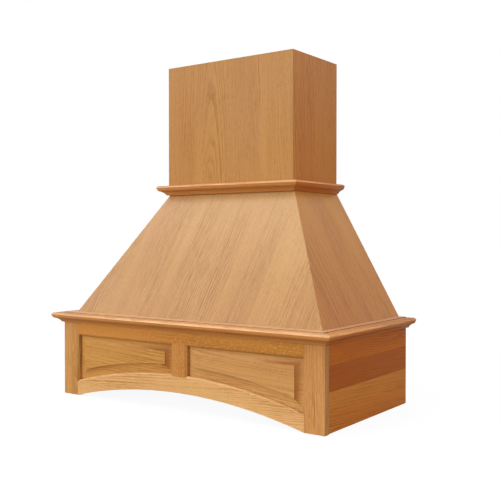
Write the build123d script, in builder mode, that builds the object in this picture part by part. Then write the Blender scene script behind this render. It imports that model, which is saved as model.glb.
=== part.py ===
"""A wooden range hood cover: framed apron, sloping canopy and square chimney.

It hangs on a kitchen wall over a hob and hides a metal liner and its duct.
Sizes are in millimetres. X runs along the wall, +Z is up and the room lies towards -Y.
The origin is the centre of the footprint, level with the bottom edge of the apron.
"""

import os
from dataclasses import dataclass
from math import sqrt

from build123d import *

os.makedirs("parts", exist_ok=True)

# ---------------------------------------------------------------- driving dimensions
# apron
apron_width = 914.4  # over the face frame, 36 in
apron_depth = 463.55  # wall to the front of the face frame, 18 1/4 in
apron_height = 228.6  # bottom edge to the underside of the shelf, 9 in

# face frame
frame_thickness = 19.05
frame_overhang = 3.175  # how far the face frame stands past the side boards
stile_width = 63.5
centre_stile_width = 57.15
top_rail_width = 49.2
rail_end_width = 44.45  # bottom rail, measured where its face meets a stile
rail_crown_width = 49.2  # bottom rail, measured at the middle of the arch
arch_rise = 50.8
outer_arris = 1.0

# sticking: the moulded and grooved inner edge of the frame
ovolo_radius = 5.56
ovolo_quirk = 0.8
groove_setback = 11.1  # from the face to the groove
groove_width = 4.76
groove_depth = 9.5
tenon_relief = 0.8  # gap between a tenon's end and the bottom of its groove

# raised panels
panel_recess = 4.76  # the field lies this far behind the frame's face
bevel_width = 25.4
top_bevel_width = 19.05
bevel_step = 1.2  # little shoulder round the field
panel_float = 1.6  # room for the panel to swell in its groove
tongue_play = 0.2

# side boards, glued edge to edge
side_thickness = 19.05
side_joint_heights = (53.0, 100.0, 164.0)

# shelf on top of the apron
shelf_thickness = 19.05
shelf_width = 88.9

# canopy skins and chimney panels
skin_thickness = 12.7
foot_inset_side = 25.4  # the slope's foot, in from the outside of the face frame
foot_inset_front = 31.75
collar_height = 603.25  # bottom edge to the underside of the collar plate, 23 3/4 in
collar_spread = 1.6  # the slope's sides stand this far outside the chimney's
collar_setback = 6.35  # the slope's front ends this far behind the chimney's face
chimney_width = 454.025
chimney_depth = 244.475
hood_height = 993.775  # 39 1/8 in
panel_thickness_chimney = 12.7

# collar plate, and how much of it is left round the duct opening
plate_thickness = 19.05
plate_side_border = 39.6875
plate_front_border = 47.625

# cap moulding, the same section for both bands
cap_height = 28.575
cap_projection = 28.575
cap_set_down = 1.5875  # the lower band is planted this far below the shelf's top
thumb_width = 9.0
thumb_drop = 6.0
lip_height = 0.8
lip_quirk = 1.6
bead_width = 6.0
bead_height = 9.6
bead_bulge = 1.6
cove_quirk = 1.2
cove_hollow = 1.8
cap_foot = 5.0

# blocks, cleats and wall rails inside
block_size = 38.1
block_chamfer = 9.5
liner_cleat_width = 38.1
liner_cleat_thickness = 19.05
liner_level = 114.3  # underside of the liner cleats
foot_cleat_width = 38.1
foot_cleat_height = 31.75
hip_block_leg = 38.1
collar_cleat_width = 22.2
collar_cleat_height = 31.75
wall_rail_thickness = 19.05
wall_rail_width = 88.9
post_size = 25.4
post_chamfer = 6.35

# holes for the installer
wall_hole_radius = 3.5
wall_hole_spacing = 406.4  # 16 in between studs
top_hole_spacing = 203.2
liner_hole_radius = 1.6
liner_hole_inset = 9.525  # from the ends of the side cleats

# fasteners
screw_radius = 2.1
screw_head_radius = 5.2
screw_head_height = 2.4
screw_tip = 5.0
screw_bite = 12.7  # how deep a screw goes into solid wood
skin_bite = 6.35  # how deep it goes into a chimney panel
recess_width = 1.2
recess_depth = 1.4
brad_radius = 0.6
brad_length = 34.0
brad_cover = 5.5  # brad heads are set this far below the moulding's nose
brad_drop = 12.7  # below the top of the moulding
fastener_clearance = 0.2
sunk_depth = screw_head_height + fastener_clearance  # for heads that lie flush

overcut = 1.0  # cutters start this far outside the wood

# ---------------------------------------------------------------- places worked out from them
half_width = apron_width / 2
wall_y = (apron_depth + cap_projection) / 2
front_y = wall_y - apron_depth
frame_back_y = front_y + frame_thickness
side_face = half_width - frame_overhang
side_inside = side_face - side_thickness
shelf_top = apron_height + shelf_thickness
rail_front_y = wall_y - wall_rail_thickness

opening_side = half_width - stile_width
opening_top = apron_height - top_rail_width
tenon_length = groove_depth - tenon_relief
rail_face_half = opening_side + ovolo_radius  # the rails' faces lap the stiles' ovolos
rail_crown = arch_rise + rail_crown_width

chimney_half = chimney_width / 2
chimney_front_y = wall_y - chimney_depth
chimney_inside = chimney_half - panel_thickness_chimney
chimney_inside_y = chimney_front_y + panel_thickness_chimney
plate_top = collar_height + plate_thickness
duct_width = chimney_width - 2 * plate_side_border
duct_depth = chimney_depth - plate_front_border - wall_rail_thickness

slope_foot_half = half_width - foot_inset_side
slope_foot_y = front_y + foot_inset_front
slope_top_half = chimney_half + collar_spread
slope_top_y = chimney_front_y + collar_setback
side_run = (slope_foot_half - slope_top_half) / (collar_height - shelf_top)
front_run = (slope_top_y - slope_foot_y) / (collar_height - shelf_top)
skin_across = skin_thickness * sqrt(1 + side_run**2)  # a skin's thickness measured level
skin_along = skin_thickness * sqrt(1 + front_run**2)

liner_cleat_top = liner_level + liner_cleat_thickness
hip_foot = shelf_top + foot_cleat_height
hip_top = collar_height - collar_cleat_height
wall_hole_low = apron_height - wall_rail_width / 2
wall_hole_middle = collar_height - wall_rail_width / 2
wall_hole_high = hood_height - wall_rail_width / 2


def arc_radius(half_chord, rise):
    """Radius of the arc that climbs by rise over half its chord."""
    return (half_chord**2 + rise**2) / (2 * rise)


arch_radius = arc_radius(rail_face_half, arch_rise)
arch_centre = arch_rise - arch_radius
rail_arc_radius = arc_radius(rail_face_half, rail_crown - rail_end_width)
rail_arc_centre = rail_crown - rail_arc_radius
rail_arc_axis = Axis((0, 0, rail_arc_centre), (0, 1, 0))


def skin_half(height, inside=False):
    """Half the canopy's width at a height, over its skins or between them."""
    outside_half = slope_foot_half - side_run * (height - shelf_top)
    return outside_half - (skin_across if inside else 0)


def skin_y(height, inside=False):
    """Where the front of the canopy is at a height, on its outside or its inside."""
    outside_y = slope_foot_y + front_run * (height - shelf_top)
    return outside_y + (skin_along if inside else 0)


# ---------------------------------------------------------------- shared ways of working
def front_plane(y):
    """An upright plane that faces the room: local x is X and local y is Z."""
    return Plane.XZ.offset(-y)


def plan(height, points):
    """A flat outline seen from above."""
    with BuildSketch(Plane.XY.offset(height)) as outline:
        with BuildLine():
            Polyline(*points, close=True)
        make_face()
    return outline.sketch


def elevation(y, points):
    """A flat outline seen from the room."""
    with BuildSketch(front_plane(y)) as outline:
        with BuildLine():
            Polyline(*points, close=True)
        make_face()
    return outline.sketch


def squared(low, high):
    """A squared piece of wood between two opposite corners, added to the current part."""
    corner, opposite = Vector(*low), Vector(*high)
    with Locations((corner + opposite) / 2):
        Box(*(opposite - corner))


def save(piece, label):
    """Name a finished piece and write it."""
    piece.label = label
    export_step(piece, f"parts/{label}.step")


def save_pair(piece, label):
    """Write a right-hand piece and its mirror image on the left."""
    save(piece, f"right_{label}")
    save(mirror(piece, about=Plane.YZ), f"left_{label}")


@dataclass
class Fastener:
    """A screw or brad: where its head bears, which way it points, and its length."""

    seat: tuple
    towards: tuple
    length: float

    @property
    def location(self):
        return Plane(origin=self.seat, z_dir=-Vector(*self.towards)).location

    @property
    def mirrored(self):
        x, y, z = self.seat
        dx, dy, dz = self.towards
        return Fastener((-x, y, z), (-dx, dy, dz), self.length)


def both_sides(fasteners):
    """The right-hand fasteners and their mirror images."""
    return fasteners + [item.mirrored for item in fasteners]


def drill(fasteners, radius):
    """Bore the holes that the fasteners lie in, a little wider and deeper than they are."""
    for item in fasteners:
        with Locations(item.location):
            Cylinder(
                radius + fastener_clearance,
                item.length + fastener_clearance,
                align=(Align.CENTER, Align.CENTER, Align.MAX),
                mode=Mode.SUBTRACT,
            )


def sink_heads(fasteners):
    """Recess the wood round screw heads that lie flush with it."""
    for item in fasteners:
        with Locations(item.location):
            Cylinder(
                screw_head_radius + fastener_clearance,
                sunk_depth,
                align=(Align.CENTER, Align.CENTER, Align.MIN),
                mode=Mode.SUBTRACT,
            )


# ---------------------------------------------------------------- where the fasteners go
TO_ROOM, TO_WALL, TO_SIDE, DOWN = (0, -1, 0), (0, 1, 0), (1, 0, 0), (0, 0, -1)


def block_screws(inner_x, face_y, size, towards, levels, bites):
    """Two screws through a block into the piece in front of or behind it, and two into the side."""
    across, along = bites
    head_y = face_y - towards[1] * size
    upright = [Fastener((inner_x + size / 2, head_y, z), towards, size + along) for z in levels]
    middle_y = face_y - towards[1] * size / 2
    drop = 4 * screw_radius + screw_head_radius
    sideways = [
        Fastener((inner_x, middle_y, z - drop), TO_SIDE, size + across) for z in levels
    ]
    return upright, sideways


block_inner_x = side_inside - block_size
block_quarter = (apron_height - liner_cleat_top) / 4
block_levels = (liner_cleat_top + 1.5 * block_quarter, apron_height - block_quarter / 2)
frame_screws, front_side_screws = block_screws(
    block_inner_x, frame_back_y, block_size, TO_ROOM, block_levels, (screw_bite, screw_bite)
)
low_rail_screws, rear_side_screws = block_screws(
    block_inner_x, rail_front_y, block_size, TO_WALL, block_levels, (screw_bite, screw_bite)
)

post_inner_x = chimney_inside - post_size
top_levels = (hood_height - 0.7 * wall_rail_width, hood_height - 0.25 * wall_rail_width)
top_rail_screws, chimney_side_screws = block_screws(
    post_inner_x, rail_front_y, post_size, TO_WALL, top_levels, (skin_bite, skin_bite)
)

liner_screw_z = liner_level + liner_cleat_thickness / 2
liner_screw_length = liner_cleat_width + screw_bite
flush_screw_length = liner_screw_length - sunk_depth
stile_screw_x = (opening_side + groove_depth + side_inside) / 2
liner_front_y = frame_back_y + liner_cleat_width
liner_back_y = rail_front_y - liner_cleat_width
liner_inner_x = side_inside - liner_cleat_width
liner_middle_y = (liner_front_y + liner_back_y) / 2
liner_hole_spacing = liner_back_y - liner_front_y - 2 * liner_hole_inset
flush_y = liner_front_y - sunk_depth
liner_front_middle = [Fastener((0, flush_y, liner_screw_z), TO_ROOM, flush_screw_length)]
liner_front_side = [
    Fastener((stile_screw_x, flush_y, liner_screw_z), TO_ROOM, flush_screw_length)
]
liner_side_screws = [
    Fastener((liner_inner_x, liner_middle_y + step, liner_screw_z), TO_SIDE, liner_screw_length)
    for step in (-liner_hole_spacing / 4, liner_hole_spacing / 4)
]
liner_back_middle = [Fastener((0, liner_back_y, liner_screw_z), TO_WALL, liner_screw_length)]
liner_back_side = [
    Fastener((side_inside * 2 / 3, liner_back_y, liner_screw_z), TO_WALL, liner_screw_length)
]

foot_front_back_y = skin_y(shelf_top, inside=True) + foot_cleat_width
foot_side_inner_x = skin_half(shelf_top, inside=True) - foot_cleat_width
foot_screw_y = (skin_y(hip_foot, inside=True) + foot_front_back_y) / 2
foot_screw_x = (skin_half(hip_foot, inside=True) + foot_side_inner_x) / 2
foot_screw_length = foot_cleat_height + screw_bite
foot_front_screws = [
    Fastener((share * foot_side_inner_x, foot_screw_y, hip_foot), DOWN, foot_screw_length)
    for share in (0.3, 0.8)
]
foot_side_span = wall_y - foot_front_back_y
foot_side_screws = [
    Fastener((foot_screw_x, foot_front_back_y + share * foot_side_span, hip_foot), DOWN, foot_screw_length)
    for share in (0.2, 0.8)
]

collar_front_back_y = skin_y(collar_height, inside=True) + collar_cleat_width
collar_side_inner_x = skin_half(collar_height, inside=True) - collar_cleat_width
collar_screw_y = collar_front_back_y - collar_cleat_width / 2
collar_screw_x = collar_side_inner_x + collar_cleat_width / 2
collar_screw_length = plate_thickness + screw_bite
plate_rail_screws = [
    Fastener((duct_width / 3, wall_y - wall_rail_thickness / 2, plate_top), DOWN, collar_screw_length)
]
plate_front_screws = [
    Fastener((duct_width / 3, collar_screw_y, plate_top), DOWN, collar_screw_length)
]
plate_side_screws = [
    Fastener(
        (collar_screw_x, (collar_front_back_y + rail_front_y) / 2, plate_top), DOWN, collar_screw_length
    )
]

nose = cap_projection - brad_cover
cap_top_low = shelf_top - cap_set_down
low_brad_z = cap_top_low - brad_drop
cap_top_high = collar_height + cap_height
high_brad_z = cap_top_high - brad_drop
low_front_brads = [
    Fastener((share * half_width, front_y - nose, low_brad_z), TO_WALL, brad_length)
    for share in (0.3, 0.85)
]
low_side_brads = [
    Fastener((half_width + nose, front_y + share * apron_depth, low_brad_z), (-1, 0, 0), brad_length)
    for share in (0.25, 0.85)
]
high_front_brads = [
    Fastener((0.7 * chimney_half, chimney_front_y - nose, high_brad_z), TO_WALL, brad_length)
]
high_side_brads = [
    Fastener(
        (chimney_half + nose, chimney_front_y + share * chimney_depth, high_brad_z), (-1, 0, 0), brad_length
    )
    for share in (0.3, 0.8)
]


# ---------------------------------------------------------------- face frame
def edge_plane(x, z, inward):
    """A plane across a frame edge: local x runs inward from the edge, local y back from the face."""
    return Plane(origin=(x, front_y, z), x_dir=inward, z_dir=Vector(*inward).cross(Vector(0, 1, 0)))


def sticking_waste(plane):
    """What the shaper takes off a frame edge: the quirked ovolo in front, the groove behind it."""
    with BuildSketch(plane) as waste:
        with BuildLine():
            Polyline(
                (0, ovolo_quirk + ovolo_radius),
                (-overcut, ovolo_quirk + ovolo_radius),
                (-overcut, -overcut),
                (ovolo_radius, -overcut),
                (ovolo_radius, ovolo_quirk),
            )
            TangentArc((ovolo_radius, ovolo_quirk), (0, ovolo_quirk + ovolo_radius), tangent=(-1, 0))
        make_face()
        with Locations(((groove_depth - overcut) / 2, groove_setback + groove_width / 2)):
            Rectangle(groove_depth + overcut, groove_width)
    return waste.sketch


with BuildPart() as stile:
    squared((opening_side, front_y, 0), (half_width, frame_back_y, apron_height))
    outer_edge = stile.edges().filter_by(Axis.Z).group_by(Axis.X)[-1].sort_by(Axis.Y)[0]
    fillet(outer_edge, radius=outer_arris)
    extrude(
        sticking_waste(edge_plane(opening_side, 0, (1, 0, 0))),
        amount=apron_height + overcut,
        both=True,
        mode=Mode.SUBTRACT,
    )
    drill(frame_screws + liner_front_side, screw_radius)
left_stile = mirror(stile.part, about=Plane.YZ)
save_pair(stile.part, "stile")

with BuildPart() as top_rail:
    rail_end = opening_side + tenon_length
    squared((-rail_end, front_y, opening_top), (rail_end, frame_back_y, apron_height))
    extrude(
        sticking_waste(edge_plane(0, opening_top, (0, 0, 1))),
        amount=rail_end + overcut,
        both=True,
        mode=Mode.SUBTRACT,
    )
    add(stile.part, mode=Mode.SUBTRACT)
    add(left_stile, mode=Mode.SUBTRACT)
save(top_rail.part, "top_rail")

with BuildPart() as bottom_rail:
    with BuildSketch(front_plane(front_y)):
        with Locations((0, rail_arc_centre)):
            Circle(rail_arc_radius)
        with Locations((0, rail_crown / 2)):
            Rectangle(2 * rail_end, rail_crown, mode=Mode.INTERSECT)
        with Locations((0, arch_centre)):
            Circle(arch_radius, mode=Mode.SUBTRACT)
    extrude(amount=-frame_thickness)
    revolve(
        sticking_waste(edge_plane(0, rail_crown, (0, 0, -1))),
        axis=rail_arc_axis,
        mode=Mode.SUBTRACT,
    )
    add(stile.part, mode=Mode.SUBTRACT)
    add(left_stile, mode=Mode.SUBTRACT)
save(bottom_rail.part, "bottom_rail")

with BuildPart() as centre_stile:
    half_stile = centre_stile_width / 2
    with BuildSketch(front_plane(front_y)):
        with Locations((0, (opening_top + tenon_length) / 2)):
            Rectangle(centre_stile_width, opening_top + tenon_length)
        with Locations((0, rail_arc_centre)):
            Circle(rail_arc_radius - tenon_length, mode=Mode.SUBTRACT)
    extrude(amount=-frame_thickness)
    for side in (1, -1):
        extrude(
            sticking_waste(edge_plane(side * half_stile, 0, (-side, 0, 0))),
            amount=apron_height,
            both=True,
            mode=Mode.SUBTRACT,
        )
    add(top_rail.part, mode=Mode.SUBTRACT)
    add(bottom_rail.part, mode=Mode.SUBTRACT)
    drill(liner_front_middle, screw_radius)
save(centre_stile.part, "centre_stile")


# ---------------------------------------------------------------- raised panels
tongue_length = groove_depth - panel_float
tongue_front = groove_setback + tongue_play
panel_back = groove_setback + groove_width - tongue_play


def bevel_waste(plane, width):
    """What the panel cutter takes off: a shallow cove from the field down to the tongue."""
    with BuildSketch(plane) as waste:
        with BuildLine():
            Polyline(
                (width, panel_recess + bevel_step),
                (width, panel_recess - overcut),
                (-tongue_length - overcut, panel_recess - overcut),
                (-tongue_length - overcut, tongue_front),
                (0, tongue_front),
            )
            TangentArc((0, tongue_front), (width, panel_recess + bevel_step), tangent=(1, 0))
        make_face()
    return waste.sketch


with BuildPart() as raised_panel:
    panel_low_x = half_stile - tongue_length
    panel_high_x = opening_side + tongue_length
    panel_top = opening_top + tongue_length
    with BuildSketch(front_plane(front_y + panel_recess)):
        with Locations(((panel_low_x + panel_high_x) / 2, panel_top / 2)):
            Rectangle(panel_high_x - panel_low_x, panel_top)
        with Locations((0, rail_arc_centre)):
            Circle(rail_arc_radius - tongue_length, mode=Mode.SUBTRACT)
    extrude(amount=panel_recess - panel_back)
    for side_x, inward in ((half_stile, (1, 0, 0)), (opening_side, (-1, 0, 0))):
        extrude(
            bevel_waste(edge_plane(side_x, 0, inward), bevel_width),
            amount=apron_height,
            both=True,
            mode=Mode.SUBTRACT,
        )
    extrude(
        bevel_waste(edge_plane(0, opening_top, (0, 0, -1)), top_bevel_width),
        amount=half_width,
        both=True,
        mode=Mode.SUBTRACT,
    )
    revolve(
        bevel_waste(edge_plane(0, rail_crown, (0, 0, 1)), bevel_width),
        axis=rail_arc_axis,
        mode=Mode.SUBTRACT,
    )
save_pair(raised_panel.part, "raised_panel")

# ---------------------------------------------------------------- side boards of the apron
board_edges = (0, *side_joint_heights, apron_height)
for number, (low_edge, high_edge) in enumerate(zip(board_edges, board_edges[1:]), start=1):
    with BuildPart() as side_board:
        squared((side_inside, frame_back_y, low_edge), (side_face, wall_y, high_edge))
        drill(front_side_screws + rear_side_screws + liner_side_screws, screw_radius)
    save_pair(side_board.part, f"side_board_{number}")

# ---------------------------------------------------------------- corner blocks of the apron
with BuildPart() as front_block:
    squared(
        (block_inner_x, frame_back_y, liner_cleat_top),
        (side_inside, frame_back_y + block_size, apron_height),
    )
    inner_edge = front_block.edges().filter_by(Axis.Z).group_by(Axis.X)[0].sort_by(Axis.Y)[-1]
    chamfer(inner_edge, length=block_chamfer)
    drill(frame_screws + front_side_screws, screw_radius)
save_pair(front_block.part, "front_corner_block")

with BuildPart() as rear_block:
    squared(
        (block_inner_x, rail_front_y - block_size, liner_cleat_top),
        (side_inside, rail_front_y, apron_height),
    )
    inner_edge = rear_block.edges().filter_by(Axis.Z).group_by(Axis.X)[0].sort_by(Axis.Y)[0]
    chamfer(inner_edge, length=block_chamfer)
    drill(low_rail_screws + rear_side_screws, screw_radius)
save_pair(rear_block.part, "rear_corner_block")

# ---------------------------------------------------------------- liner cleats
with BuildPart() as front_liner_cleat:
    squared((-side_inside, frame_back_y, liner_level), (side_inside, liner_front_y, liner_cleat_top))
    front_cleat_screws = liner_front_middle + both_sides(liner_front_side)
    drill(front_cleat_screws, screw_radius)
    sink_heads(front_cleat_screws)
save(front_liner_cleat.part, "front_liner_cleat")

with BuildPart() as back_liner_cleat:
    squared((-side_inside, liner_back_y, liner_level), (side_inside, rail_front_y, liner_cleat_top))
    drill(liner_back_middle + both_sides(liner_back_side), screw_radius)
save(back_liner_cleat.part, "back_liner_cleat")

with BuildPart() as side_liner_cleat:
    squared((liner_inner_x, liner_front_y, liner_level), (side_inside, liner_back_y, liner_cleat_top))
    drill(liner_side_screws, screw_radius)
    with Locations(((liner_inner_x + side_inside) / 2, liner_middle_y, liner_cleat_top)):
        with GridLocations(0, liner_hole_spacing, 1, 2):
            Hole(liner_hole_radius, liner_cleat_thickness)
save_pair(side_liner_cleat.part, "liner_cleat")

# ---------------------------------------------------------------- wall rails
with BuildPart() as lower_wall_rail:
    squared((-side_inside, rail_front_y, liner_level), (side_inside, wall_y, apron_height))
    with Locations(front_plane(rail_front_y)):
        with Locations((0, wall_hole_low)):
            with GridLocations(wall_hole_spacing, 0, 2, 1):
                Hole(wall_hole_radius, wall_rail_thickness)
    drill(both_sides(low_rail_screws + liner_back_side) + liner_back_middle, screw_radius)
save(lower_wall_rail.part, "lower_wall_rail")

middle_rail_foot = collar_height - wall_rail_width
with BuildPart() as middle_wall_rail:
    foot_half = skin_half(middle_rail_foot, inside=True)
    top_half = skin_half(collar_height, inside=True)
    trapezium = elevation(
        rail_front_y,
        [
            (-foot_half, middle_rail_foot),
            (foot_half, middle_rail_foot),
            (top_half, collar_height),
            (-top_half, collar_height),
        ],
    )
    extrude(trapezium, amount=-wall_rail_thickness)
    with Locations(front_plane(rail_front_y)):
        with Locations((0, wall_hole_middle)):
            with GridLocations(wall_hole_spacing, 0, 2, 1):
                Hole(wall_hole_radius, wall_rail_thickness)
    drill(both_sides(plate_rail_screws), screw_radius)
save(middle_wall_rail.part, "middle_wall_rail")

with BuildPart() as upper_wall_rail:
    squared(
        (-chimney_inside, rail_front_y, hood_height - wall_rail_width),
        (chimney_inside, wall_y, hood_height),
    )
    with Locations(front_plane(rail_front_y)):
        with Locations((0, wall_hole_high)):
            with GridLocations(top_hole_spacing, 0, 2, 1):
                Hole(wall_hole_radius, wall_rail_thickness)
    drill(both_sides(top_rail_screws), screw_radius)
save(upper_wall_rail.part, "upper_wall_rail")

# ---------------------------------------------------------------- shelf on top of the apron
shelf_inner_x = side_face - shelf_width
shelf_inner_y = front_y + shelf_width
with BuildPart() as front_shelf:
    mitred = plan(
        apron_height,
        [
            (-side_face, front_y),
            (side_face, front_y),
            (shelf_inner_x, shelf_inner_y),
            (-shelf_inner_x, shelf_inner_y),
        ],
    )
    extrude(mitred, amount=shelf_thickness)
    drill(both_sides(foot_front_screws), screw_radius)
    drill(both_sides(low_front_brads), brad_radius)
save(front_shelf.part, "front_shelf")

with BuildPart() as side_shelf:
    mitred = plan(
        apron_height,
        [
            (side_face, front_y),
            (side_face, wall_y),
            (shelf_inner_x, wall_y),
            (shelf_inner_x, shelf_inner_y),
        ],
    )
    extrude(mitred, amount=shelf_thickness)
    drill(foot_front_screws + foot_side_screws, screw_radius)
    drill(low_side_brads, brad_radius)
save_pair(side_shelf.part, "shelf")


# ---------------------------------------------------------------- cap mouldings
def cap_section(plane, back=0.0):
    """The moulding's section: local x points out from the hood, local y up from the moulding's top."""
    bead_top = thumb_drop + lip_height
    bead_start = cap_projection - lip_quirk
    bead_end = bead_start - bead_width
    cove_top = bead_top + bead_height
    with BuildSketch(plane) as section:
        with BuildLine():
            Polyline((cap_foot, -cap_height), (-back, -cap_height), (-back, 0))
            Line((-back, 0), (cap_projection - thumb_width, 0))
            TangentArc(
                (cap_projection - thumb_width, 0), (cap_projection, -thumb_drop), tangent=(1, 0)
            )
            Polyline(
                (cap_projection, -thumb_drop),
                (cap_projection, -bead_top),
                (bead_start, -bead_top),
            )
            SagittaArc((bead_start, -bead_top), (bead_end, -cove_top), bead_bulge)
            Line((bead_end, -cove_top), (bead_end - cove_quirk, -cove_top))
            SagittaArc((bead_end - cove_quirk, -cove_top), (cap_foot, -cap_height), -cove_hollow)
        make_face()
    return section.sketch


def cap_length(section, footprint, top):
    """Run the section past both ends and mitre it to its footprint, in the current part."""
    extrude(section, amount=apron_width, both=True)
    extrude(plan(top - cap_height, footprint), amount=cap_height, mode=Mode.INTERSECT)


def front_cap(half, face_y, top):
    """Section and footprint of a front length, mitred at both ends."""
    plane = Plane(origin=(0, face_y, top), x_dir=(0, -1, 0), z_dir=(-1, 0, 0))
    tip = half + cap_projection
    tip_y = face_y - cap_projection
    return cap_section(plane), [(-half, face_y), (half, face_y), (tip, tip_y), (-tip, tip_y)]


def side_cap(half, face_y, top, notch=0.0, notch_length=0.0):
    """Section and footprint of a right-hand length, notched over the face frame's edge."""
    plane = Plane(origin=(half, wall_y, top), x_dir=(1, 0, 0), z_dir=(0, -1, 0))
    tip = half + cap_projection
    outer = [(half - notch, wall_y), (tip, wall_y), (tip, face_y - cap_projection), (half, face_y)]
    inner = [(half, face_y + notch_length), (half - notch, face_y + notch_length)] if notch else []
    return cap_section(plane, notch), outer + inner


with BuildPart() as lower_front_moulding:
    cap_length(*front_cap(half_width, front_y, cap_top_low), cap_top_low)
    drill(both_sides(low_front_brads), brad_radius)
save(lower_front_moulding.part, "lower_front_moulding")

with BuildPart() as lower_side_moulding:
    cap_length(
        *side_cap(half_width, front_y, cap_top_low, frame_overhang, frame_thickness), cap_top_low
    )
    drill(low_side_brads, brad_radius)
save_pair(lower_side_moulding.part, "lower_moulding")

with BuildPart() as upper_front_moulding:
    cap_length(*front_cap(chimney_half, chimney_front_y, cap_top_high), cap_top_high)
    drill(both_sides(high_front_brads), brad_radius)
save(upper_front_moulding.part, "upper_front_moulding")

with BuildPart() as upper_side_moulding:
    cap_length(*side_cap(chimney_half, chimney_front_y, cap_top_high), cap_top_high)
    drill(high_side_brads, brad_radius)
save_pair(upper_side_moulding.part, "upper_moulding")


# ---------------------------------------------------------------- canopy skins
def front_skin_plan(z):
    """The front skin's outline at a height, mitred at both hips."""
    out_x, out_y = skin_half(z), skin_y(z)
    in_x, in_y = skin_half(z, inside=True), skin_y(z, inside=True)
    return plan(z, [(-out_x, out_y), (out_x, out_y), (in_x, in_y), (-in_x, in_y)])


def side_skin_plan(z):
    """The right skin's outline at a height, mitred at the hip and square at the wall."""
    out_x, out_y = skin_half(z), skin_y(z)
    in_x, in_y = skin_half(z, inside=True), skin_y(z, inside=True)
    return plan(z, [(out_x, out_y), (out_x, wall_y), (in_x, wall_y), (in_x, in_y)])


with BuildPart() as front_slope:
    loft([front_skin_plan(shelf_top), front_skin_plan(collar_height)], ruled=True)
save(front_slope.part, "front_slope")

with BuildPart() as side_slope:
    loft([side_skin_plan(shelf_top), side_skin_plan(collar_height)], ruled=True)
save_pair(side_slope.part, "slope")


# ---------------------------------------------------------------- cleats and blocks in the canopy
def front_cleat_plan(z, back_y):
    """A front cleat's outline at a height: its front face lies on the skin."""
    half, face_y = skin_half(z, inside=True), skin_y(z, inside=True)
    return plan(z, [(-half, face_y), (half, face_y), (half, back_y), (-half, back_y)])


def side_cleat_plan(z, inner_x, low_y, high_y):
    """A right-hand cleat's outline at a height: its outer face lies on the skin."""
    face_x = skin_half(z, inside=True)
    return plan(z, [(inner_x, low_y), (face_x, low_y), (face_x, high_y), (inner_x, high_y)])


def hip_block_plan(z):
    """A hip block's outline at a height: a right triangle in the corner of two skins."""
    corner_x, corner_y = skin_half(z, inside=True), skin_y(z, inside=True)
    return plan(
        z,
        [
            (corner_x, corner_y),
            (corner_x, corner_y + hip_block_leg),
            (corner_x - hip_block_leg, corner_y),
        ],
    )


with BuildPart() as front_foot_cleat:
    loft([front_cleat_plan(z, foot_front_back_y) for z in (shelf_top, hip_foot)], ruled=True)
    drill(both_sides(foot_front_screws), screw_radius)
save(front_foot_cleat.part, "front_foot_cleat")

with BuildPart() as side_foot_cleat:
    loft(
        [
            side_cleat_plan(z, foot_side_inner_x, foot_front_back_y, wall_y)
            for z in (shelf_top, hip_foot)
        ],
        ruled=True,
    )
    drill(foot_side_screws, screw_radius)
save_pair(side_foot_cleat.part, "foot_cleat")

with BuildPart() as hip_block:
    loft([hip_block_plan(hip_foot), hip_block_plan(hip_top)], ruled=True)
save_pair(hip_block.part, "hip_block")

with BuildPart() as front_collar_cleat:
    loft([front_cleat_plan(z, collar_front_back_y) for z in (hip_top, collar_height)], ruled=True)
    drill(both_sides(plate_front_screws), screw_radius)
save(front_collar_cleat.part, "front_collar_cleat")

with BuildPart() as side_collar_cleat:
    loft(
        [
            side_cleat_plan(z, collar_side_inner_x, collar_front_back_y, rail_front_y)
            for z in (hip_top, collar_height)
        ],
        ruled=True,
    )
    drill(plate_side_screws, screw_radius)
save_pair(side_collar_cleat.part, "collar_cleat")

# ---------------------------------------------------------------- collar plate
with BuildPart() as collar_plate:
    squared(
        (-chimney_half, chimney_front_y, collar_height),
        (chimney_half, wall_y, plate_top),
    )
    with BuildSketch(Plane.XY.offset(collar_height)):
        with Locations((0, rail_front_y - duct_depth / 2)):
            Rectangle(duct_width, duct_depth)
    extrude(amount=plate_thickness, mode=Mode.SUBTRACT)
    plate_screws = both_sides(plate_rail_screws + plate_front_screws + plate_side_screws)
    drill(plate_screws, screw_radius)
    drill(both_sides(high_front_brads + high_side_brads), brad_radius)
save(collar_plate.part, "collar_plate")

# ---------------------------------------------------------------- chimney
with BuildPart() as chimney_front:
    mitred = plan(
        plate_top,
        [
            (-chimney_half, chimney_front_y),
            (chimney_half, chimney_front_y),
            (chimney_inside, chimney_inside_y),
            (-chimney_inside, chimney_inside_y),
        ],
    )
    extrude(mitred, amount=hood_height - plate_top)
save(chimney_front.part, "chimney_front")

with BuildPart() as chimney_side:
    mitred = plan(
        plate_top,
        [
            (chimney_half, chimney_front_y),
            (chimney_half, wall_y),
            (chimney_inside, wall_y),
            (chimney_inside, chimney_inside_y),
        ],
    )
    extrude(mitred, amount=hood_height - plate_top)
    drill(chimney_side_screws, screw_radius)
save_pair(chimney_side.part, "chimney_side")

with BuildPart() as corner_post:
    squared(
        (post_inner_x, chimney_inside_y, plate_top),
        (chimney_inside, chimney_inside_y + post_size, hood_height - post_size),
    )
    inner_edge = corner_post.edges().filter_by(Axis.Z).group_by(Axis.X)[0].sort_by(Axis.Y)[-1]
    chamfer(inner_edge, length=post_chamfer)
save_pair(corner_post.part, "chimney_post")

with BuildPart() as top_block:
    squared(
        (post_inner_x, rail_front_y - post_size, hood_height - wall_rail_width),
        (chimney_inside, rail_front_y, hood_height),
    )
    inner_edge = top_block.edges().filter_by(Axis.Z).group_by(Axis.X)[0].sort_by(Axis.Y)[0]
    chamfer(inner_edge, length=post_chamfer)
    drill(top_rail_screws + chimney_side_screws, screw_radius)
save_pair(top_block.part, "upper_rail_block")


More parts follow.
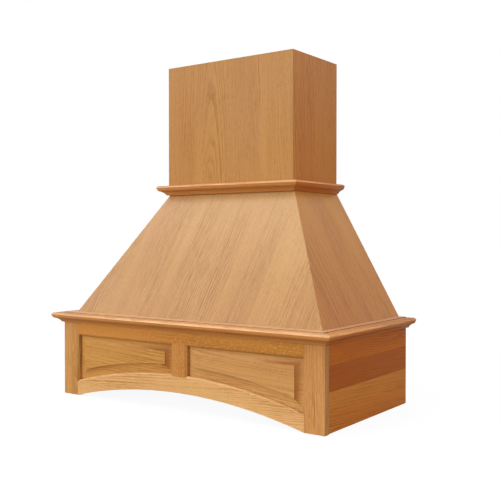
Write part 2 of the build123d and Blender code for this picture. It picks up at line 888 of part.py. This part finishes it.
# ---------------------------------------------------------------- fasteners
def wood_screw(length):
    """A washer-head wood screw with a cross recess: head above the origin, shank below it."""
    with BuildPart() as screw:
        with BuildSketch(Plane.XZ):
            with BuildLine():
                crown = (0, screw_head_height)
                rim = (screw_head_radius, 0)
                Polyline(
                    rim,
                    (screw_radius, 0),
                    (screw_radius, screw_tip - length),
                    (0, -length),
                    crown,
                )
                RadiusArc(crown, rim, screw_head_radius * 1.5)
            make_face()
        revolve(axis=Axis.Z)
        with Locations((0, 0, screw_head_height)):
            Box(screw_head_radius, recess_width, 2 * recess_depth, mode=Mode.SUBTRACT)
            Box(recess_width, screw_head_radius, 2 * recess_depth, mode=Mode.SUBTRACT)
    return screw.part


def driven(fasteners):
    """A screw at each place."""
    return [item.location * wood_screw(item.length) for item in fasteners]


apron_block_screws = frame_screws + front_side_screws + low_rail_screws + rear_side_screws
block_screw_set = driven(both_sides(apron_block_screws + top_rail_screws + chimney_side_screws))
with BuildPart() as corner_block_screws:
    add(block_screw_set)
save(corner_block_screws.part, "corner_block_screws")

end_cleat_screws = both_sides(liner_front_side + liner_side_screws + liner_back_side)
liner_screw_set = driven(liner_front_middle + liner_back_middle + end_cleat_screws)
with BuildPart() as liner_cleat_screws:
    add(liner_screw_set)
save(liner_cleat_screws.part, "liner_cleat_screws")

foot_screw_set = driven(both_sides(foot_front_screws + foot_side_screws))
with BuildPart() as foot_cleat_screws:
    add(foot_screw_set)
save(foot_cleat_screws.part, "foot_cleat_screws")

collar_screw_set = driven(plate_screws)
with BuildPart() as collar_screws:
    add(collar_screw_set)
save(collar_screws.part, "collar_screws")

with BuildPart() as moulding_brads:
    all_brads = low_front_brads + low_side_brads + high_front_brads + high_side_brads
    for brad in both_sides(all_brads):
        with Locations(brad.location):
            Cylinder(brad_radius, brad.length, align=(Align.CENTER, Align.CENTER, Align.MAX))
save(moulding_brads.part, "moulding_brads")
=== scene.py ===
"""Finish and studio for the wooden range hood cover: lacquered red oak on a bare carcass."""

from math import pi, radians

import bpy
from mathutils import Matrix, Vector


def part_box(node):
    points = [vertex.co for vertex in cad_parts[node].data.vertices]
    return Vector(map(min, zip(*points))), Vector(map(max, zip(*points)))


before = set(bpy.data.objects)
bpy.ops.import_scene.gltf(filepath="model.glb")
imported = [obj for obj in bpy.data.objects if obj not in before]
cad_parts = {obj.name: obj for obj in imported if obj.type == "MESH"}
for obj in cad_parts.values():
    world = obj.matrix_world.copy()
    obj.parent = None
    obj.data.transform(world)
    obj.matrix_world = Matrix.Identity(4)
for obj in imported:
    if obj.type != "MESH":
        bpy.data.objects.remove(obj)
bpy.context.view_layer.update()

# ---------------------------------------------------------------- face frame
# Stiles and rails of plain-sawn red oak, coped and stuck together. The stiles run past the
# rails, the grain follows each member's length, and every arris is eased with sandpaper.

ALONG_WALL, FROM_WALL, UPRIGHT = Vector((1, 0, 0)), Vector((0, -1, 0)), Vector((0, 0, 1))


class Figure:
    """One measure of a finish. Sums on it become Math nodes in the finish's tree."""

    def __init__(self, tree, socket=None):
        self.tree = tree
        self.socket = socket

    def node(self, kind, settings, inputs, output=0):
        """Any node: its settings first, then the values or links of its sockets."""
        made = self.tree.nodes.new(kind)
        for name, value in settings.items():
            if name != "stops":
                setattr(made, name, value)
                continue
            stops = made.color_ramp.elements
            while len(stops) < len(value):
                stops.new(0.5)
            for stop, (place, level) in zip(stops, value):
                stop.position = place
                stop.color = (level, level, level, 1)
        for name, value in inputs.items():
            if isinstance(value, Figure):
                self.tree.links.new(value.socket, made.inputs[name])
            else:
                made.inputs[name].default_value = value
        return Figure(self.tree, made.outputs[output] if made.outputs else None)

    def math(self, operation, *terms):
        return self.node("ShaderNodeMath", {"operation": operation}, dict(enumerate(terms)))

    def __add__(self, other):
        return self.math("ADD", self, other)

    __radd__ = __add__

    def __sub__(self, other):
        return self.math("SUBTRACT", self, other)

    def __rsub__(self, other):
        return self.math("SUBTRACT", other, self)

    def __mul__(self, other):
        return self.math("MULTIPLY", self, other)

    __rmul__ = __mul__

    def __truediv__(self, other):
        return self.math("DIVIDE", self, other)

    def __pow__(self, power):
        return self.math("POWER", self, power)

    def __abs__(self):
        return self.math("ABSOLUTE", self)

    def whole(self):
        return self.math("FLOOR", self)

    def part(self):
        return self.math("FRACT", self)

    def along(self, direction):
        """How far a place, or a surface's outlook, goes in one direction."""
        inputs = {0: self, 1: direction}
        return self.node("ShaderNodeVectorMath", {"operation": "DOT_PRODUCT"}, inputs, "Value")

    def noise(self, x, y, z, detail=2.0, roughness=0.5):
        """Smooth noise over three measures, from 0 to 1."""
        spot = self.node("ShaderNodeCombineXYZ", {}, {"X": x, "Y": y, "Z": z})
        inputs = {"Vector": spot, "Scale": 1.0, "Detail": detail, "Roughness": roughness}
        return self.node("ShaderNodeTexNoise", {}, inputs)

    def ramp(self, *stops):
        """This measure sent through a row of (place, level) stops."""
        return self.node("ShaderNodeValToRGB", {"stops": stops}, {"Fac": self})

    def colour(self, low, high, blend="MIX"):
        """Two colours mixed by this measure: low at 0, high at 1."""
        settings = {"data_type": "RGBA", "blend_type": blend}
        return self.node("ShaderNodeMix", settings, {0: self, 6: low, 7: high}, 2)


def shade(code, red=1.0, green=1.0, blue=1.0):
    """A colour as it is seen, written as six hex digits, turned into light levels and tinted."""
    seen = [int(code[i : i + 2], 16) / 255 for i in (0, 2, 4)]
    levels = [c / 12.92 if c <= 0.04045 else ((c + 0.055) / 1.055) ** 2.4 for c in seen]
    return (*(level * tint for level, tint in zip(levels, (red, green, blue))), 1)


def timber(
    name,
    grain,
    face,
    tone,
    contrast=1.0,
    heart=(0.0, 0.11),
    taper=0.035,
    ring=0.0042,
    pores=1.0,
    rays=0.0,
    seed=0.0,
    lacquer=0.35,
    leaf=None,
    drift=0.0,
    plies=None,
    painted_shade=None,
    fades=None,
    top_lift=None,
):
    """A board's finish.

    grain is the way its fibres run and face the way its show face looks. heart says where the
    tree's heart lay: across from the middle, and behind the face. Rings spread from it and
    close along the board by taper, which draws the arches of a plain-sawn board.
    taper, ring (the width of a year's ring) and leaf (of a veneer's leaf) are in metres. drift
    is how much more quartered each next leaf is, and plies the thickness of a ply at an edge.
    painted_shade says where shade is painted into the colour: the way such a surface looks, how
    far over it starts and ends, and the tone of the painted shade there. fades says from which
    place on, and how fast, the tone gets paler up the grain. top_lift says between which places
    up the grain the tone turns paler and bluer, and by how much in red, green and blue. On the
    canopy skins, fades and top_lift are painted light.
    """
    material = bpy.data.materials.new(name)
    material.use_nodes = True
    tree = material.node_tree
    shader = tree.nodes["Principled BSDF"]
    wood = Figure(tree)
    place = wood.node("ShaderNodeTexCoord", {}, {}, "Object")
    outlook = wood.node("ShaderNodeTexCoord", {}, {}, "Normal")
    run = place.along(grain) + seed
    across = place.along(face.cross(grain)) - heart[0]
    depth = place.along(face)

    darkness = 0.24
    if leaf:
        number = (across / leaf).whole()
        leaf_tone = wood.noise(number * 7.3 + seed, 0.5, 0.5, 0.0) - 0.5
        across = across - (number + 0.5) * leaf + number * drift
        run = run + leaf_tone * 0.8
        darkness = leaf_tone * (0.5 * contrast) + darkness
    below = depth + heart[1]

    # years' rings round the heart, wavy and of uneven width, each with a coarse early part
    sway = wood.noise(run * 2.4, across * 10 + seed, depth * 10) - 0.5
    ripple = wood.noise(run * 13, across * 60 + seed, depth * 60) - 0.5
    from_heart = (across**2.0 + below**2.0) ** 0.5
    count = (from_heart + run * taper + sway * 0.016 + ripple * 0.0016) / ring
    count = count + wood.noise(count * 0.31, seed + 9.0, 0.0, 0.0) * 2.6
    year = wood.noise(count * 0.55, seed, 0.0, 3.0, 0.6) - 0.5
    decade = wood.noise(count * 0.12, seed + 4.0, 0.0, 1.0) - 0.5
    early = count.part().ramp((0.0, 1.0), (0.3, 0.8), (0.5, 0.1), (0.97, 0.0), (1.0, 1.0))

    # cloudy patches, long fibres, short dashes where the grain is coarse, and open pores
    patch = wood.noise(run * 1.7, across * 8 + seed, depth * 8, 1.0) - 0.5
    fibre = wood.noise(run * 5, across * 300 + seed, depth * 300, 3.0, 0.6) - 0.5
    dash = wood.noise(run * 26, across * 230 + seed, depth * 230, 2.0, 0.6) - 0.5
    zone = wood.noise(run * 3.1, across * 16 + seed, depth * 16, 1.0)
    zone = zone.ramp((0.38, 0.25), (0.62, 1.6))
    pore = wood.noise(run * 110, across * 1500 + seed, depth * 1500, 1.0)
    pore = pore.ramp((0.55, 0.0), (0.68, 1.0)) * (0.2 + early * 0.8) * pores

    # all the marks together, which draw the tone from pale to deep
    marks = early * (0.26 + year * 0.5) * zone - 0.08 + year * 0.42 + decade * 0.5
    marks = marks + fibre * 0.5 + dash * zone * 0.8 + patch * 0.5
    if rays:
        fleck = wood.noise(run * 95 + across * 60, across * 150 - run * 45, depth * 60, 1.0)
        marks = marks - fleck.ramp((0.52, 0.0), (0.62, 1.0)) * rays
    darkness = marks * contrast + darkness
    # tone paler up the grain from one place on; on the canopy skins this is painted light
    if fades:
        level, rate = fades
        darkness = darkness - (run - seed - level) * rate
    tone_pale = shade(tone, 1.12, 1.14, 1.18)
    tone_deep = shade(tone, 0.62, 0.50, 0.36)
    body = darkness.colour(tone_pale, tone_deep)
    body = (patch * 1.4 + 0.3).colour(body, (1.02, 0.93, 1.06, 1), "MULTIPLY")
    # paler and bluer between two places up the grain; on the canopy skins this is painted light
    if top_lift:
        lowest, highest, lift_tint = top_lift
        lift_mask = ((run - seed - lowest) / (highest - lowest)).ramp((0.0, 0.0), (1.0, 1.0))
        body = lift_mask.colour(body, (*lift_tint, 1), "MULTIPLY")
    body = (pore * 0.55).colour(body, shade(tone, 0.2, 0.12, 0.07))

    # painted shade: surfaces turned the given way take a deeper tone in place of the shade there
    if painted_shade:
        way, least, most, shade_tone = painted_shade
        turned = outlook.along(way) * 0.5 + 0.5
        shade_mask = turned.ramp((0.5 + least / 2, 0.0), (0.5 + most / 2, 1.0))
        paler_painted_shade, deeper_painted_shade = shade(shade_tone, 1.2, 1.2, 1.2), shade(shade_tone, 0.7, 0.64, 0.55)
        body = shade_mask.colour(body, (marks * 0.9 + 0.4).colour(paler_painted_shade, deeper_painted_shade))
    end = abs(outlook.along(grain)).ramp((0.55, 0.0), (0.8, 1.0))
    body = (end * 0.4).colour(body, shade(tone, 0.22, 0.15, 0.1))
    if plies:
        edge = 1 - abs(outlook.along(face)).ramp((0.35, 0.0), (0.6, 1.0))
        layer = (depth / (2 * plies)).part()
        layer = layer.ramp((0.0, 0.0), (0.46, 0.0), (0.5, 1.0), (0.96, 1.0), (1.0, 0.0))
        cut = (layer * 0.8 + dash * 0.5).colour(shade("D3A875"), shade("8E6238"))
        body = edge.colour(body, cut)
    tree.links.new(body.socket, shader.inputs["Base Color"])

    # satin lacquer over the wood, duller in the pores and on end grain
    sheen = pore * 0.3 + end * 0.15 + fibre * 0.12 + 0.42
    tree.links.new(sheen.socket, shader.inputs["Roughness"])
    shader.inputs["Specular IOR Level"].default_value = 0.3
    shader.inputs["Specular Tint"].default_value = (1.0, 0.7, 0.42, 1)
    shader.inputs["Coat Weight"].default_value = lacquer
    shader.inputs["Coat Tint"].default_value = (1.0, 0.93, 0.82, 1)
    shader.inputs["Coat Roughness"].default_value = 0.25
    height = early * -0.25 + pore * -1.0 + dash * 0.3
    relief_depth = {"Height": height, "Distance": 0.00012, "Strength": 0.7}
    relief = wood.node("ShaderNodeBump", {}, relief_depth)
    tree.links.new(relief.socket, shader.inputs["Normal"])
    return material


def finish(node, material, easing=0.6):
    """Give a solid its finish, and take the sharpness off its arrises, in millimetres."""
    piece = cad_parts[node]
    piece.material_slots[0].material = material
    if easing:
        joined = piece.modifiers.new("joined", "WELD")
        joined.merge_threshold = 1e-6
        flat = piece.modifiers.new("flat", "DECIMATE")
        flat.decimate_type = "DISSOLVE"
        flat.angle_limit = radians(0.4)
        arris = piece.modifiers.new("arris", "BEVEL")
        arris.width = easing / 1000
        arris.segments = 2
        arris.limit_method = "ANGLE"
        arris.angle_limit = radians(38)


left_stile_oak = timber(
    "left stile oak", UPRIGHT, FROM_WALL, "BB8C50", contrast=1.6, heart=(-0.55, 0), seed=1.3
)
finish("left_stile", left_stile_oak)
right_stile_oak = timber(
    "right stile oak", UPRIGHT, FROM_WALL, "BC8A51", contrast=1.6, heart=(0.6, 0), seed=2.9,
    fades=(0.11, -1.8),
)
finish("right_stile", right_stile_oak)
centre_stile_oak = timber(
    "centre stile oak", UPRIGHT, FROM_WALL, "B47E40", heart=(0.3, 0), rays=0.42, seed=5.1
)
finish("centre_stile", centre_stile_oak)
top_rail_oak = timber(
    "top rail oak", ALONG_WALL, FROM_WALL, "B67D38", heart=(-0.3, 0.02), rays=0.38, seed=3.7,
    fades=(0.0, -1.15),
)
finish("top_rail", top_rail_oak)
bottom_rail_oak = timber(
    "bottom rail oak", ALONG_WALL, FROM_WALL, "D1A66C", contrast=1.1, heart=(0.3, 0.05), seed=7.7
)
finish("bottom_rail", bottom_rail_oak)

# ---------------------------------------------------------------- raised panels
# Glued-up plain-sawn oak with its grain level. The panel cutter leaves a flat field inside a
# shallow cove, and the tongue floats in the frame's groove.

for hand, heart_drop, tone, seed in (
    ("left", 0.11, "B98846", 11.0),
    ("right", 0.14, "BC8E54", 13.5),
):
    # painted shade: surfaces turned to the right, the coves beside each field, take a deeper tone
    panel_oak = timber(
        f"{hand} panel oak", ALONG_WALL, FROM_WALL, tone, contrast=1.1, heart=(-heart_drop, 0.05),
        taper=0.05, ring=0.006, seed=seed, painted_shade=(ALONG_WALL, 0.02, 0.13, "98602C"),
    )
    finish(f"{hand}_raised_panel", panel_oak)

# ---------------------------------------------------------------- side boards of the apron
# Four boards edge-glued into each side. They came from different trees, so each has a tone of
# its own. Those of the right side are darker and redder than the frame: partly redder boards
# and partly painted shade. The left side's tones are nearer the front's.

OUTWARD = {"left": -ALONG_WALL, "right": ALONG_WALL}
board_tones = {
    "left": ("C4843E", "CA8A44", "AC6C2C", "BA7634"),
    # the right side's tones are partly painted shade
    "right": ("C6752B", "C67C2C", "AA560A", "B9620B"),
}
for hand, tones in board_tones.items():
    for number, tone in enumerate(tones, start=1):
        board_oak = timber(
            f"{hand} board {number} oak", FROM_WALL, OUTWARD[hand], tone,
            heart=(-0.3 - 0.07 * number, 0.05), seed=17.0 + 2.3 * number, lacquer=0.15,
        )
        finish(f"{hand}_side_board_{number}", board_oak, easing=0.3)

# ---------------------------------------------------------------- blocks and cleats
# Bare planed pine. Upright blocks and posts stiffen the corners, and cleats run round inside
# each joint of the carcass. All are glued, and most are screwed too.


def pine(name, grain, face, seed):
    """Bare planed pine: pale, with soft wide rings and no lacquer."""
    return timber(
        name, grain, face, "D2A873", heart=(0.03, 0.07), taper=0.02, ring=0.0035,
        pores=0.1, seed=seed, lacquer=0.0,
    )


corner_blocks = ("front_corner_block", "rear_corner_block", "hip_block")
chimney_blocks = ("chimney_post", "upper_rail_block")
side_cleats = ("liner_cleat", "foot_cleat", "collar_cleat")
long_cleats = ("front_liner_cleat", "back_liner_cleat", "front_foot_cleat", "front_collar_cleat")
next_board = 1.7  # every piece is cut from another stretch of timber
seed = 40.0
for hand in OUTWARD:
    for part in corner_blocks + chimney_blocks:
        seed += next_board
        finish(f"{hand}_{part}", pine(f"{hand} {part} pine", UPRIGHT, ALONG_WALL, seed))
    for part in side_cleats:
        seed += next_board
        finish(f"{hand}_{part}", pine(f"{hand} {part} pine", FROM_WALL, UPRIGHT, seed))
for part in long_cleats:
    seed += next_board
    finish(part, pine(f"{part} pine", ALONG_WALL, UPRIGHT, seed))

# ---------------------------------------------------------------- wall rails
# Bare planed poplar, straight in the grain and faintly green. The rails run between the sides
# at the back, and are bored for the screws that hang the cover on the wall.

for part in ("lower_wall_rail", "middle_wall_rail", "upper_wall_rail"):
    seed += next_board
    poplar = timber(
        f"{part} poplar", ALONG_WALL, FROM_WALL, "C9B486", heart=(0.2, 0.05), ring=0.005,
        pores=0.15, seed=seed, lacquer=0.0,
    )
    finish(part, poplar)

# ---------------------------------------------------------------- shelf
# Three oak boards on top of the apron, mitred at the front corners. The canopy stands on them.
# Their outer edges are drawn in a deeper tone, which is painted shade, and their pale tone is
# partly painted sheen on their tops.

# painted shade on the outer edges, and a pale tone that is partly painted sheen
front_shelf_oak = timber(
    "front shelf oak", ALONG_WALL, UPRIGHT, "E8C096", heart=(0.2, 0.05), seed=61.0,
    lacquer=0.2, painted_shade=(FROM_WALL, 0.3, 0.8, "9A6C3C"),
)
finish("front_shelf", front_shelf_oak)
for hand, outward in OUTWARD.items():
    shelf_oak = timber(
        f"{hand} shelf oak", FROM_WALL, UPRIGHT, "E0AE86", heart=(0.35, 0.05), seed=63.0,
        lacquer=0.2, painted_shade=(outward, 0.3, 0.8, "8E5F34"),
    )
    finish(f"{hand}_shelf", shelf_oak)

# ---------------------------------------------------------------- cap mouldings
# Solid oak run on a spindle moulder, mitred round the apron and the chimney and bradded on.
# Their tops keep a pale tone and every face not turned up takes a deeper one: painted sheen on
# top and painted shade below.

for level in ("lower", "upper"):
    # painted light and shade: a pale tone on top, a deeper one on faces not turned up
    front_moulding_oak = timber(
        f"{level} front moulding oak", ALONG_WALL, FROM_WALL, "DCAC7C", heart=(-0.2, 0.04),
        seed=75.0, painted_shade=(-UPRIGHT, -0.6, -0.1, "BE8248"),
    )
    finish(f"{level}_front_moulding", front_moulding_oak, easing=0.4)
    for hand, tone, seed in (("left", "CB9A66", 83.0), ("right", "D99A60", 84.0)):
        side_moulding_oak = timber(
            f"{hand} {level} moulding oak", FROM_WALL, OUTWARD[hand], tone, heart=(-0.2, 0.04),
            seed=seed, painted_shade=(-UPRIGHT, -0.6, -0.1, "C0702F"),
        )
        finish(f"{hand}_{level}_moulding", side_moulding_oak, easing=0.4)

# ---------------------------------------------------------------- canopy skins
# Oak-veneered plywood, mitred at the hips and glued to the cleats behind it. The grain runs up
# each slope, and leans a little on the front. Towards the top the tone is drawn paler and bluer:
# painted light, standing in for the sheen of the lamps on the upper skins.

front_low, front_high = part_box("front_slope")
side_low, side_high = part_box("right_slope")
chimney_low, chimney_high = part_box("chimney_front")
canopy_ply = 0.0018
rise = front_high.z - front_low.z
setback = 0.00635  # the front slope ends this far behind the chimney's face
lean = 0.13
front_climb = Vector((0, chimney_low.y + setback - front_low.y, rise)).normalized()
front_outlook = ALONG_WALL.cross(front_climb).normalized()
front_grain = (front_climb + ALONG_WALL * lean).normalized()
# painted light: the skin is drawn paler and bluer towards the top
front_slope_veneer = timber(
    "front slope veneer", front_grain, front_outlook, "AF854D", heart=(0.6, 0.05), taper=0.02,
    ring=0.0045, seed=81.0, plies=canopy_ply, fades=(0.33, 1.0),
    top_lift=(0.27, 0.54, (1.06, 1.13, 1.5)),
)
finish("front_slope", front_slope_veneer, easing=0.5)
skin_across = 0.0145  # the side skins measured level, along the wall
side_run = side_high.x - skin_across - side_low.x
# the right skin's tone is partly painted shade, more orange than the left's
for hand, tone, seed in (("left", "B8854A", 83.0), ("right", "C17E30", 85.0)):
    climb = (UPRIGHT * rise - OUTWARD[hand] * side_run).normalized()
    outlook = climb.cross(FROM_WALL).normalized() * OUTWARD[hand].x
    # painted light: the skin is drawn paler and bluer towards the top
    slope_veneer = timber(
        f"{hand} slope veneer", climb, outlook, tone, contrast=1.1, heart=(0.5, 0.05),
        taper=0.03, ring=0.0048, seed=seed, plies=canopy_ply, fades=(0.19, 0.9),
        top_lift=(0.12, 0.42, (1.02, 1.15, 1.6)),
    )
    finish(f"{hand}_slope", slope_veneer, easing=0.5)

# ---------------------------------------------------------------- collar plate
# Bare plywood on the collar cleats. It closes the canopy, carries the chimney and lets the duct
# through the opening sawn in it.

collar_ply = timber(
    "collar plywood", ALONG_WALL, UPRIGHT, "D0AC78", heart=(0.0, 0.05), pores=0.2, seed=91.0,
    lacquer=0.0, leaf=0.25, plies=0.0015,
)
finish("collar_plate", collar_ply)

# ---------------------------------------------------------------- chimney
# Oak-veneered plywood with the grain upright, mitred at the front corners and glued to the posts.
# The veneer was laid in leaves side by side.

chimney_front_veneer = timber(
    "chimney front veneer", UPRIGHT, FROM_WALL, "AF814A", contrast=0.65, heart=(0.0037, 0.06),
    taper=0.05, ring=0.005, seed=95.0, leaf=0.121, drift=0.2, plies=canopy_ply,
    top_lift=(0.72, 0.95, (1.01, 1.06, 1.22)),
)
finish("chimney_front", chimney_front_veneer, easing=0.4)
# the right side's tone is partly painted shade, more orange than the left's
for hand, tone in (("left", "B58146"), ("right", "C17C33")):
    side_veneer = timber(
        f"{hand} chimney veneer", UPRIGHT, OUTWARD[hand], tone, contrast=1.1, heart=(0.2, 0.06),
        taper=0.05, ring=0.005, seed=97.0, leaf=0.12, drift=0.15, plies=canopy_ply,
    )
    finish(f"{hand}_chimney_side", side_veneer, easing=0.4)

# ---------------------------------------------------------------- screws and brads
# Washer-head wood screws of zinc-plated steel, driven through the blocks, cleats and plate, and
# bright steel brads that pin the mouldings.


def plated(name, low, high, roughness):
    """Plated steel with a cloudy, slightly uneven plating."""
    material = bpy.data.materials.new(name)
    material.use_nodes = True
    tree = material.node_tree
    shader = tree.nodes["Principled BSDF"]
    steel = Figure(tree)
    place = steel.node("ShaderNodeTexCoord", {}, {}, "Object")
    clouds = steel.node("ShaderNodeTexNoise", {}, {"Vector": place, "Scale": 350.0, "Detail": 3.0})
    tree.links.new(clouds.colour(low, high).socket, shader.inputs["Base Color"])
    tree.links.new((clouds * 0.3 + roughness).socket, shader.inputs["Roughness"])
    shader.inputs["Metallic"].default_value = 1.0
    return material


zinc = plated("yellow zinc", shade("A8965C"), shade("DCCB92"), 0.2)
for screws in ("corner_block_screws", "liner_cleat_screws", "foot_cleat_screws", "collar_screws"):
    finish(screws, zinc, easing=None)
brad_steel = plated("bright brad steel", shade("9A9C9E"), shade("C8CACC"), 0.15)
finish("moulding_brads", brad_steel, easing=None)

# ---------------------------------------------------------------- studio
# A white floor that still takes the cover's shadow, under a white surround. Soft far lamps: the
# main ones in front and high at the left, weaker ones on top, at the right side and behind.

floor_mesh = bpy.data.meshes.new("floor")
reach = 30.0
floor_level = -0.0002  # just clear of the cover's feet
floor_corners = [
    (x * reach, y * reach, floor_level) for x, y in ((-1, -1), (1, -1), (1, 1), (-1, 1))
]
floor_mesh.from_pydata(floor_corners, [], [(0, 1, 2, 3)])
floor = bpy.data.objects.new("floor", floor_mesh)
bpy.context.scene.collection.objects.link(floor)
paper = bpy.data.materials.new("white paper")
paper.use_nodes = True
paper.node_tree.nodes.clear()
sheet = Figure(paper.node_tree)
seen = sheet.node("ShaderNodeLightPath", {}, {}, "Is Camera Ray")
matt = sheet.node("ShaderNodeBsdfDiffuse", {}, {"Color": (0.36, 0.32, 0.26, 1)})
glow = sheet.node("ShaderNodeEmission", {}, {"Color": (1, 1.01, 1.03, 1), "Strength": 1.3})
mixed = sheet.node("ShaderNodeMixShader", {}, {0: seen * 0.7, 1: matt, 2: glow})
sheet.node("ShaderNodeOutputMaterial", {}, {"Surface": mixed})
floor_mesh.materials.append(paper)

world = bpy.data.worlds.new("studio")
bpy.context.scene.world = world
world.use_nodes = True
air = Figure(world.node_tree)
seen = air.node("ShaderNodeLightPath", {}, {}, "Is Camera Ray")
mirrored = air.node("ShaderNodeLightPath", {}, {}, "Is Glossy Ray")
ambient = 0.28
in_gloss = 0.2
background = world.node_tree.nodes["Background"]
strength = seen * (1 - ambient) - mirrored * (ambient - in_gloss) + ambient
world.node_tree.links.new(strength.socket, background.inputs["Strength"])
background.inputs["Color"].default_value = (1, 1, 1, 1)


def lamp(name, towards, level, softness, mirrored=True):
    """A far soft lamp. A white face turned to it at level 1 is lit to white."""
    light = bpy.data.lights.new(name, "SUN")
    light.energy = pi * level
    light.angle = radians(softness)
    holder = bpy.data.objects.new(name, light)
    holder.rotation_euler = Vector(towards).to_track_quat("Z", "Y").to_euler()
    holder.visible_glossy = mirrored
    bpy.context.scene.collection.objects.link(holder)


lamp("front lamp", (-0.3, -0.93, 0.18), 0.72, 34, mirrored=False)
lamp("high lamp", (-0.66, -0.48, 0.58), 0.3, 34)
lamp("top lamp", (0.05, -0.15, 0.98), 0.32, 80)
lamp("side lamp", (0.95, -0.15, 0.25), 0.36, 60, mirrored=False)
lamp("back lamp", (0.45, 0.75, 0.48), 0.1, 40)
lamp("far lamp", (-0.5, 0.8, 0.33), 0.3, 60, mirrored=False)

camera_data = bpy.data.cameras.new("camera")
camera_data.lens = 56.99
camera_data.sensor_width = 36.0
camera = bpy.data.objects.new("camera", camera_data)
camera.location = (1.40337, -1.84863, 0.47638)
camera.rotation_euler = (radians(89.023), 0, radians(35.549))
bpy.context.scene.collection.objects.link(camera)
bpy.context.scene.camera = camera
bpy.context.scene.view_settings.view_transform = "Standard"
